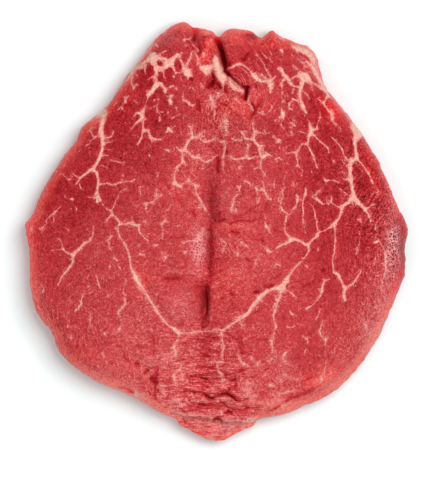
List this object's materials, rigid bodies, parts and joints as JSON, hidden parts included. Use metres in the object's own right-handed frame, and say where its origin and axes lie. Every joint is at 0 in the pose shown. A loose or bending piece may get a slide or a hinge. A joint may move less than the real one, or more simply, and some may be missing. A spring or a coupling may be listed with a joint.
{
  "type": "raw butterflied filet mignon",
  "caption": "Raw beef tenderloin steak cut almost through and opened flat, with marbled faces, a sagging hinge, a deep cleft and a thin tail.",
  "frame": {"origin": "on the surface the steak lies on, under the middle of its bounding box", "axes": "+Z up out of the cut face, +Y along the hinge towards the deep cleft, +X to the right seen from above with +Y up"},
  "size_m": [0.1339, 0.1466, 0.0182],
  "materials": {
    "raw_beef": "moist raw red meat with pale pink marbling, satin with small wet glints"
  },
  "bodies": {
    "root": {"filet": "raw_beef"}
  },
  "joints": []
}
